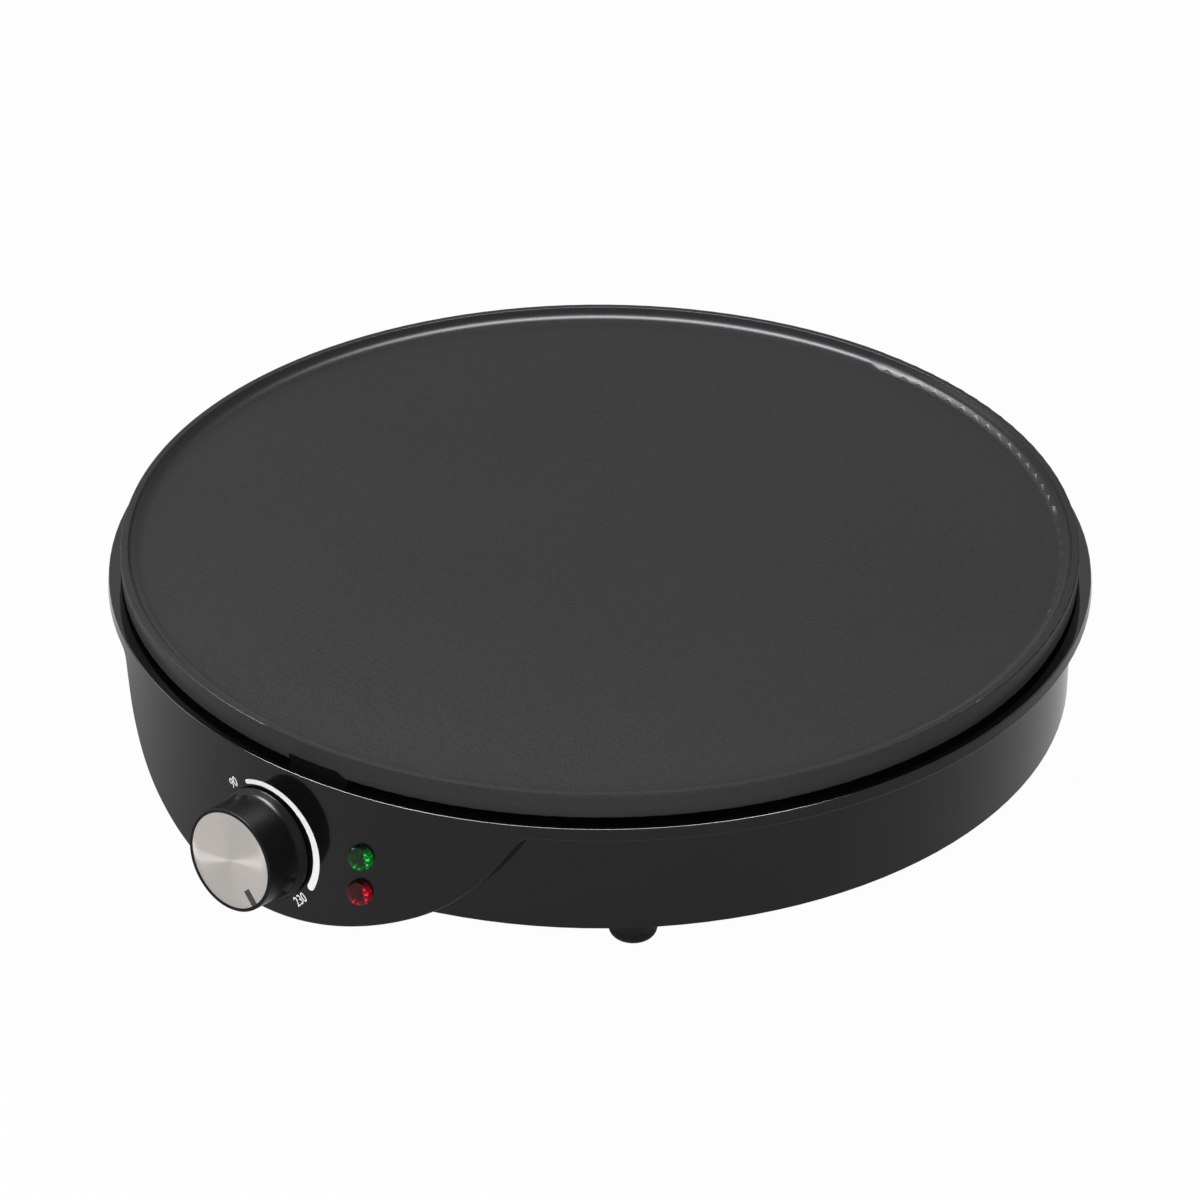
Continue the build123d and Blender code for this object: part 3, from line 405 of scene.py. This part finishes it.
class HousingSettings(bpy.types.PropertyGroup):
    plastic: bpy.props.FloatVectorProperty(
        name="Plastic", description="Colour of the moulded base",
        subtype="COLOR", size=4, min=0, max=1, default=srgb("0B0B0C"))
    underside: bpy.props.FloatVectorProperty(
        name="Underside", description="Colour of the cover, the legs and the cord clamp",
        subtype="COLOR", size=4, min=0, max=1, default=srgb("090909"))
    rubber: bpy.props.FloatVectorProperty(
        name="Rubber", description="Colour of the feet and the gland",
        subtype="COLOR", size=4, min=0, max=1, default=srgb("080808"))


class KnobSettings(bpy.types.PropertyGroup):
    plastic: bpy.props.FloatVectorProperty(
        name="Knob", description="Colour of the knob's body",
        subtype="COLOR", size=4, min=0, max=1, default=srgb("0D0D0E"))
    pointer: bpy.props.FloatVectorProperty(
        name="Pointer", description="Colour of the pointer bar",
        subtype="COLOR", size=4, min=0, max=1, default=srgb("2A2B29"))
    metal: bpy.props.FloatVectorProperty(
        name="Face", description="Colour of the knob's metal face",
        subtype="COLOR", size=4, min=0, max=1, default=srgb("D0CBC6"))
    sheen: bpy.props.FloatProperty(
        name="Face Roughness", description="How widely the turned face spreads a reflection",
        subtype="FACTOR", default=0.4, min=0, max=1)
    face_radius: bpy.props.FloatProperty(
        name="Face Radius", description="Radius of the metal face",
        unit="LENGTH", default=0.0161, min=0.005, max=0.0161)
    pointer_angle: bpy.props.FloatProperty(
        name="Pointer Angle", description="Where the pointer's slot is, clockwise from up",
        subtype="ANGLE", default=radians(136.0), min=0, max=2 * pi)


class DialSettings(bpy.types.PropertyGroup):
    ink: bpy.props.FloatVectorProperty(
        name="Ink", description="Colour of the printed marks",
        subtype="COLOR", size=4, min=0, max=1, default=srgb("F4F4F2"))
    height: bpy.props.FloatProperty(
        name="Number Height", description="Height of the numbers at the ends of the dial",
        unit="LENGTH", default=0.0034, min=0.001, max=0.01)
    width: bpy.props.FloatProperty(
        name="Number Width", description="Width of the numbers against the font's own width",
        subtype="FACTOR", default=0.72, min=0.3, max=1.5)
    radius: bpy.props.FloatProperty(
        name="Number Radius", description="Distance from the knob's axis to each number",
        unit="LENGTH", default=0.0214, min=0.018, max=0.03)
    lowest: bpy.props.IntProperty(
        name="Lowest", description="Number at the cold end of the dial",
        default=90, min=0, max=999)
    highest: bpy.props.IntProperty(
        name="Highest", description="Number at the hot end of the dial",
        default=230, min=0, max=999)


class LensSettings(bpy.types.PropertyGroup):
    green: bpy.props.FloatVectorProperty(
        name="Green", description="Colour of the upper lens",
        subtype="COLOR", size=4, min=0, max=1, default=srgb("0A8A34"))
    red: bpy.props.FloatVectorProperty(
        name="Red", description="Colour of the lower lens",
        subtype="COLOR", size=4, min=0, max=1, default=srgb("A20E26"))
    radius: bpy.props.FloatProperty(
        name="Lens Radius", description="Radius of the part that shows",
        unit="LENGTH", default=0.0041, min=0.002, max=0.0041)
    facets: bpy.props.IntProperty(
        name="Facets", description="Number of facets round the lens's inner face",
        default=8, min=3, max=24)


class StageSettings(bpy.types.PropertyGroup):
    floor: bpy.props.FloatVectorProperty(
        name="Floor", description="Colour of the floor",
        subtype="COLOR", size=4, min=0, max=1, default=srgb("F2F2F2"))
    key: bpy.props.FloatProperty(
        name="Key Light", description="Power of the soft box on the left",
        unit="POWER", default=6.0, min=0, max=1000)
    front: bpy.props.FloatProperty(
        name="Front Light", description="Power of the long soft box in front",
        unit="POWER", default=14.0, min=0, max=1000)
    sheen: bpy.props.FloatProperty(
        name="Sheen Light", description="Power of the soft box overhead that only sheens show",
        unit="POWER", default=98.0, min=0, max=1000)
    fill: bpy.props.FloatProperty(
        name="Fill", description="Strength of the even light from all round",
        default=0.14, min=0, max=10)


# Pieces


class CREPE_OT_plate(bpy.types.Operator):
    """Coats the griddle plate"""

    bl_idname = "crepe.plate"
    bl_label = "Griddle Plate"

    def execute(self, context):
        settings = context.scene.crepe_plate
        give(nonstick_coating(settings.coating[:], settings.grit), "griddle_plate")
        return {"FINISHED"}


class CREPE_OT_housing(bpy.types.Operator):
    """Finishes the base, its cover, the legs, the feet and the gland"""

    bl_idname = "crepe.housing"
    bl_label = "Base Housing"

    def execute(self, context):
        settings = context.scene.crepe_housing
        give(glossy_moulding(settings.plastic[:]), "base_housing")
        cover = satin_moulding(
            "grained_polypropylene", settings.underside[:], roughness=0.5, spacing=0.0007,
            depth=0.00003, index=1.3)
        give(cover, "bottom_cover", "leg_posts", "cord_clamp")
        give(moulded_rubber(settings.rubber[:]), "rubber_feet", "cord_gland")
        return {"FINISHED"}


class CREPE_OT_knob(bpy.types.Operator):
    """Finishes the knob and turns its metal face"""

    bl_idname = "crepe.knob"
    bl_label = "Knob"

    def execute(self, context):
        settings = context.scene.crepe_knob
        body = satin_moulding(
            "satin_knob_plastic", settings.plastic[:], roughness=0.3, spacing=0.0004,
            depth=0.000008, index=1.22)
        bar = satin_moulding(
            "pointer_plastic", settings.pointer[:], roughness=0.4, spacing=0.0004, depth=0.000008)
        give(body, "knob_body")
        give(bar, "knob_pointer")
        radius = settings.face_radius
        deselect_all()
        bpy.ops.mesh.primitive_circle_add(vertices=FACE_VERTICES, radius=radius, fill_type="NGON")
        face = context.active_object
        face.name = "knob_face"
        edit(face)
        bpy.ops.mesh.select_all(action="SELECT")
        for _ in range(FACE_RINGS):
            bpy.ops.mesh.inset(thickness=radius / (FACE_RINGS + 1))
        bpy.ops.mesh.poke()
        bpy.ops.object.mode_set(mode="OBJECT")
        apply_modifier(face, "SOLIDIFY", thickness=FACE_THICKNESS, offset=-1.0)
        deselect_all()
        bpy.ops.mesh.primitive_cube_add(size=1.0)
        slot = context.active_object
        angle = settings.pointer_angle
        slot.dimensions = SLOT_SIZE
        slot.location = Vector((sin(angle), cos(angle), 0)) * SLOT_MIDDLE
        slot.rotation_euler = (0, 0, -angle)
        apply_modifier(face, "BOOLEAN", object=slot, operation="DIFFERENCE")
        bpy.data.objects.remove(slot)
        apply_modifier(
            face, "BEVEL", width=FACE_BEVEL, segments=2, limit_method="ANGLE",
            angle_limit=radians(60))
        bpy.ops.object.shade_smooth_by_angle(angle=radians(30))
        turned = face.data.uv_layers.new(name="turned")
        for polygon in face.data.polygons:
            middle = atan2(polygon.center.y, polygon.center.x)
            for index in polygon.loop_indices:
                point = face.data.vertices[face.data.loops[index].vertex_index].co
                distance = hypot(point.x, point.y)
                turn = atan2(point.y, point.x) - middle if distance > 1e-6 else 0.0
                turn = (turn + pi) % (2 * pi) - pi + middle
                turned.data[index].uv = (turn / (2 * pi), distance / radius)
        origin, sideways, outwards = panel_axes(0.0, KNOB_HEIGHT)
        top = KNOB_LENGTH - CAP_RECESS + FACE_THICKNESS
        set_down(face, origin + outwards * top, sideways, outwards)
        face.data.materials.append(spun_aluminium(settings.metal[:], settings.sheen))
        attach(face, "knob")
        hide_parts("knob_cap")
        return {"FINISHED"}


class CREPE_OT_dial(bpy.types.Operator):
    """Prints the dial's arc and its two plain numbers"""

    bl_idname = "crepe.dial"
    bl_label = "Dial"

    def execute(self, context):
        settings = context.scene.crepe_dial
        ink = printed_ink(settings.ink[:])
        give(ink, "dial_arc")
        # Each number's place on the dial, and how far it leans to follow the dial's circle
        for name, number, angle, lean in (
            ("dial_number_low", settings.lowest, radians(-42.5), radians(42.5)),
            ("dial_number_high", settings.highest, radians(133.0), radians(47.0)),
        ):
            deselect_all()
            bpy.ops.object.text_add()
            mark = context.active_object
            mark.name = name
            mark.data.body = str(number)
            mark.data.size = settings.height / DIGIT_SHARE
            mark.data.align_x = "CENTER"
            mark.data.align_y = "CENTER"
            bpy.ops.object.convert(target="MESH")
            apply_modifier(mark, "SOLIDIFY", thickness=INK_THICKNESS, offset=0.0)
            right, up = settings.radius * sin(angle), settings.radius * cos(angle)
            for vertex in mark.data.vertices:
                lift = INK_THICKNESS if vertex.co.z > 0 else 0.0
                across, rise = vertex.co.x * settings.width, vertex.co.y
                vertex.co = on_panel(
                    right + across * cos(lean) - rise * sin(lean),
                    up + across * sin(lean) + rise * cos(lean), lift)
            mark.data.materials.append(ink)
            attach(mark, "base")
        return {"FINISHED"}


class CREPE_OT_lenses(bpy.types.Operator):
    """Moulds the two faceted indicator lenses"""

    bl_idname = "crepe.lenses"
    bl_label = "Indicator Lenses"

    def execute(self, context):
        settings = context.scene.crepe_lenses
        for colour, tone, height in (
            ("green", settings.green, GREEN_HEIGHT), ("red", settings.red, RED_HEIGHT),
        ):
            lens = self.mould(colour + "_facet_lens", settings.radius, settings.facets)
            set_down(lens, *panel_axes(LENS_AZIMUTH, height))
            lens.data.materials.append(clear_lens(colour + "_polycarbonate", tone[:]))
            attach(lens, "base")
            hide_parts(colour + "_lens")
            give(lit_bulb(colour + "_neon_glass", tone[:]), colour + "_lamp")
        return {"FINISHED"}

    def mould(self, name, radius, facets):
        """A closed cup on its own axis: facets under its front, a flange and a crowned face."""
        inner, ceiling = radius - LENS_WALL, LENS_FRONT - LENS_FACE
        deselect_all()
        bpy.ops.mesh.primitive_circle_add(
            vertices=facets * 3, radius=inner, fill_type="NGON", location=(0, 0, ceiling))
        lens = bpy.context.active_object
        lens.name = name
        bpy.ops.object.transform_apply(location=True)
        edit(lens)
        bpy.ops.mesh.select_all(action="SELECT")
        for _ in range(LENS_RINGS):
            bpy.ops.mesh.inset(thickness=inner / (LENS_RINGS + 1))
        bpy.ops.mesh.select_all(action="SELECT")
        bpy.ops.mesh.poke(offset=-FACET_DEPTH)
        bpy.ops.mesh.select_mode(type="EDGE")
        bpy.ops.mesh.select_all(action="DESELECT")
        bpy.ops.mesh.select_non_manifold()
        width, height = inner, ceiling
        profile = [
            (inner, LENS_BACK), (LENS_FLANGE_RADIUS, LENS_BACK),
            (LENS_FLANGE_RADIUS, LENS_BACK + LENS_FLANGE), (radius, LENS_BACK + LENS_FLANGE)]
        profile += [(radius - inwards, LENS_FRONT - down) for inwards, down in LENS_EDGE]
        for new_width, new_height in profile:
            rise = (0, 0, new_height - height)
            bpy.ops.mesh.extrude_edges_move(TRANSFORM_OT_translate={"value": rise})
            share = new_width / width
            bpy.ops.transform.resize(value=(share, share, 1), center_override=(0, 0, new_height))
            width, height = new_width, new_height
        bpy.ops.mesh.edge_face_add()
        bpy.ops.mesh.select_all(action="SELECT")
        bpy.ops.mesh.normals_make_consistent(inside=False)
        bpy.ops.object.mode_set(mode="OBJECT")
        bpy.ops.object.shade_smooth_by_angle(angle=radians(28))
        across = lens.data.uv_layers.new(name="across")
        for loop in lens.data.loops:
            point = lens.data.vertices[loop.vertex_index].co
            across.data[loop.index].uv = (point.x / radius, point.y / radius)
        return lens


class CREPE_OT_inner_parts(bpy.types.Operator):
    """Finishes the heating, control and wiring parts inside the base"""

    bl_idname = "crepe.inner_parts"
    bl_label = "Inner Parts"

    def execute(self, context):
        give(
            bare_metal("heat_tinted_steel", srgb("6E6760"), 0.38, 0.02, srgb("57503F")),
            "heating_element")
        give(
            bare_metal("zinc_plated_steel", srgb("B9BCC0"), 0.3, 0.006),
            "plate_screws", "element_pins", "element_straps", "strap_screws", "reflector_screws",
            "sensor_strap", "sensor_strap_screw", "thermostat_shaft", "knob_clip", "leg_screws",
            "cover_screws", "clamp_screws")
        give(bare_metal("aluminised_sheet", srgb("A9AAAB"), 0.42, 0.012), "heat_reflector")
        give(
            bare_metal("turned_brass", srgb("C9A45C"), 0.28, 0.005),
            "earth_screw", "thermostat_tabs", "thermostat_bush", "bush_nut", "terminal_screws")
        give(
            bare_metal("drawn_copper", srgb("C27C52"), 0.3, 0.006),
            "sensor_bulb", "capillary_tube")
        give(fired_ceramic(srgb("E4DFD3")), "plate_spacers", "element_seals")
        give(moulded_nylon(srgb("E3E0D5")), "thermostat_body", "lamp_holder", "terminal_block")
        give(
            wire_sleeve("glass_fibre_sleeve", srgb("DEDACE")),
            "thermal_fuse", "lamp_wires", "element_wire", "fuse_wire")
        give(wire_sleeve("red_silicone_sleeve", srgb("9E2018")), "live_wire")
        give(wire_sleeve("blue_silicone_sleeve", srgb("2A4F96")), "neutral_wire")
        give(wire_sleeve("striped_earth_sleeve", srgb("3F7A2A"), srgb("D2C12E")), "earth_wire")
        return {"FINISHED"}


class CREPE_OT_stage(bpy.types.Operator):
    """Sets the floor, the soft light and the camera"""

    bl_idname = "crepe.stage"
    bl_label = "Stage"

    def execute(self, context):
        settings = context.scene.crepe_stage
        scene = context.scene
        scene.view_settings.view_transform = "Standard"
        deselect_all()
        bpy.ops.mesh.primitive_circle_add(vertices=64, radius=FLOOR_RADIUS, fill_type="NGON")
        floor = context.active_object
        floor.name = "floor"
        floor.data.materials.append(self.floor_paint(settings.floor[:]))
        world = bpy.data.worlds.new("studio")
        world.use_nodes = True
        scene.world = world
        tree = world.node_tree
        seen = self.seen_directly(tree)
        strength = between(tree, seen, settings.fill, 1.0, start=0.0, end=1.0)
        background = tree.nodes["Background"]
        background.inputs["Color"].default_value = (1, 1, 1, 1)
        tree.links.new(strength, background.inputs["Strength"])
        for name, setting, share, size, distance, azimuth, height, unseen in SOFT_BOXES:
            power = getattr(settings, setting) * share
            lamp = self.soft_lamp(name, power, size, distance, radians(azimuth), radians(height))
            if unseen:
                setattr(lamp, unseen, False)
        heading, pitch, roll = (radians(angle) for angle in CAMERA_ANGLES)
        view = (
            Matrix.Rotation(heading, 4, "Z") @ Matrix.Rotation(pitch, 4, "X")
            @ Matrix.Rotation(roll, 4, "Z"))
        bpy.ops.object.camera_add(location=CAMERA_PLACE, rotation=view.to_euler())
        camera = context.active_object
        camera.data.sensor_width = CAMERA_SENSOR
        camera.data.lens = CAMERA_LENS
        camera.data.clip_start = 0.01
        scene.camera = camera
        return {"FINISHED"}

    def seen_directly(self, tree, mirrored=1.0):
        """1 for camera rays, a share for mirrored and refracted ones, and 0 for all other light."""
        rays = add(tree, "LightPath").outputs
        either = add(
            tree, "Math", [(0, rays["Is Glossy Ray"]), (1, rays["Is Transmission Ray"])],
            operation="MAXIMUM")
        part = add(tree, "Math", [(0, either.outputs[0]), (1, mirrored)], operation="MULTIPLY")
        return add(
            tree, "Math", [(0, part.outputs[0]), (1, rays["Is Camera Ray"])],
            operation="MAXIMUM").outputs[0]

    def floor_paint(self, colour):
        """Matt white paint that glows where it is seen, which leaves it a faint soft shadow."""
        material, tree, shader, _ = new_finish("matt_floor_paint", colour, roughness=0.9)
        glow = add(tree, "Emission", [("Color", (1, 1, 1, 1)), ("Strength", 1.0)])
        seen = self.seen_directly(tree, FLOOR_MIRRORED)
        share = between(tree, seen, 0.0, FLOOR_GLOW, start=0.0, end=1.0)
        mixed = add(tree, "MixShader", [(0, share), (1, shader.outputs[0]), (2, glow.outputs[0])])
        tree.links.new(mixed.outputs[0], tree.nodes["Material Output"].inputs["Surface"])
        return material

    def soft_lamp(self, name, power, size, distance, azimuth, height):
        """A soft box that looks at the origin, with the first side of its size level."""
        place = Vector((
            distance * sin(azimuth) * cos(height), -distance * cos(azimuth) * cos(height),
            distance * sin(height)))
        bpy.ops.object.light_add(type="AREA", location=place)
        lamp = bpy.context.active_object
        lamp.name = name
        lamp.data.energy = power
        lamp.data.shape = "RECTANGLE"
        lamp.data.size, lamp.data.size_y = size
        lamp.rotation_euler = (-place).to_track_quat("-Z", "Y").to_euler()
        return lamp


class CREPE_PT_panel(bpy.types.Panel):
    """Lists the crepe maker's settings and pieces"""

    bl_idname = "CREPE_PT_panel"
    bl_label = "Crepe Maker"
    bl_space_type = "VIEW_3D"
    bl_region_type = "UI"
    bl_category = "Crepe Maker"

    def draw(self, context):
        for group, operator in STEPS:
            box = self.layout.box()
            box.operator(operator.bl_idname)
            if group:
                settings = getattr(context.scene, group)
                for name in settings.__annotations__:
                    box.prop(settings, name)


SETTINGS = {
    "crepe_plate": PlateSettings, "crepe_housing": HousingSettings, "crepe_knob": KnobSettings,
    "crepe_dial": DialSettings, "crepe_lenses": LensSettings, "crepe_stage": StageSettings,
}
STEPS = (
    ("crepe_plate", CREPE_OT_plate), ("crepe_housing", CREPE_OT_housing),
    ("crepe_knob", CREPE_OT_knob), ("crepe_dial", CREPE_OT_dial),
    ("crepe_lenses", CREPE_OT_lenses), (None, CREPE_OT_inner_parts),
    ("crepe_stage", CREPE_OT_stage),
)
CLASSES = (*SETTINGS.values(), *(operator for _, operator in STEPS), CREPE_PT_panel)


def register():
    for cls in CLASSES:
        bpy.utils.register_class(cls)
    for name, group in SETTINGS.items():
        setattr(bpy.types.Scene, name, bpy.props.PointerProperty(type=group))


def unregister():
    for name in SETTINGS:
        delattr(bpy.types.Scene, name)
    for cls in reversed(CLASSES):
        bpy.utils.unregister_class(cls)


def main():
    register()
    bpy.ops.crepe.plate()
    bpy.ops.crepe.housing()
    bpy.ops.crepe.knob()
    bpy.ops.crepe.dial()
    bpy.ops.crepe.lenses()
    bpy.ops.crepe.inner_parts()
    bpy.ops.crepe.stage()


if __name__ == "__main__":
    main()
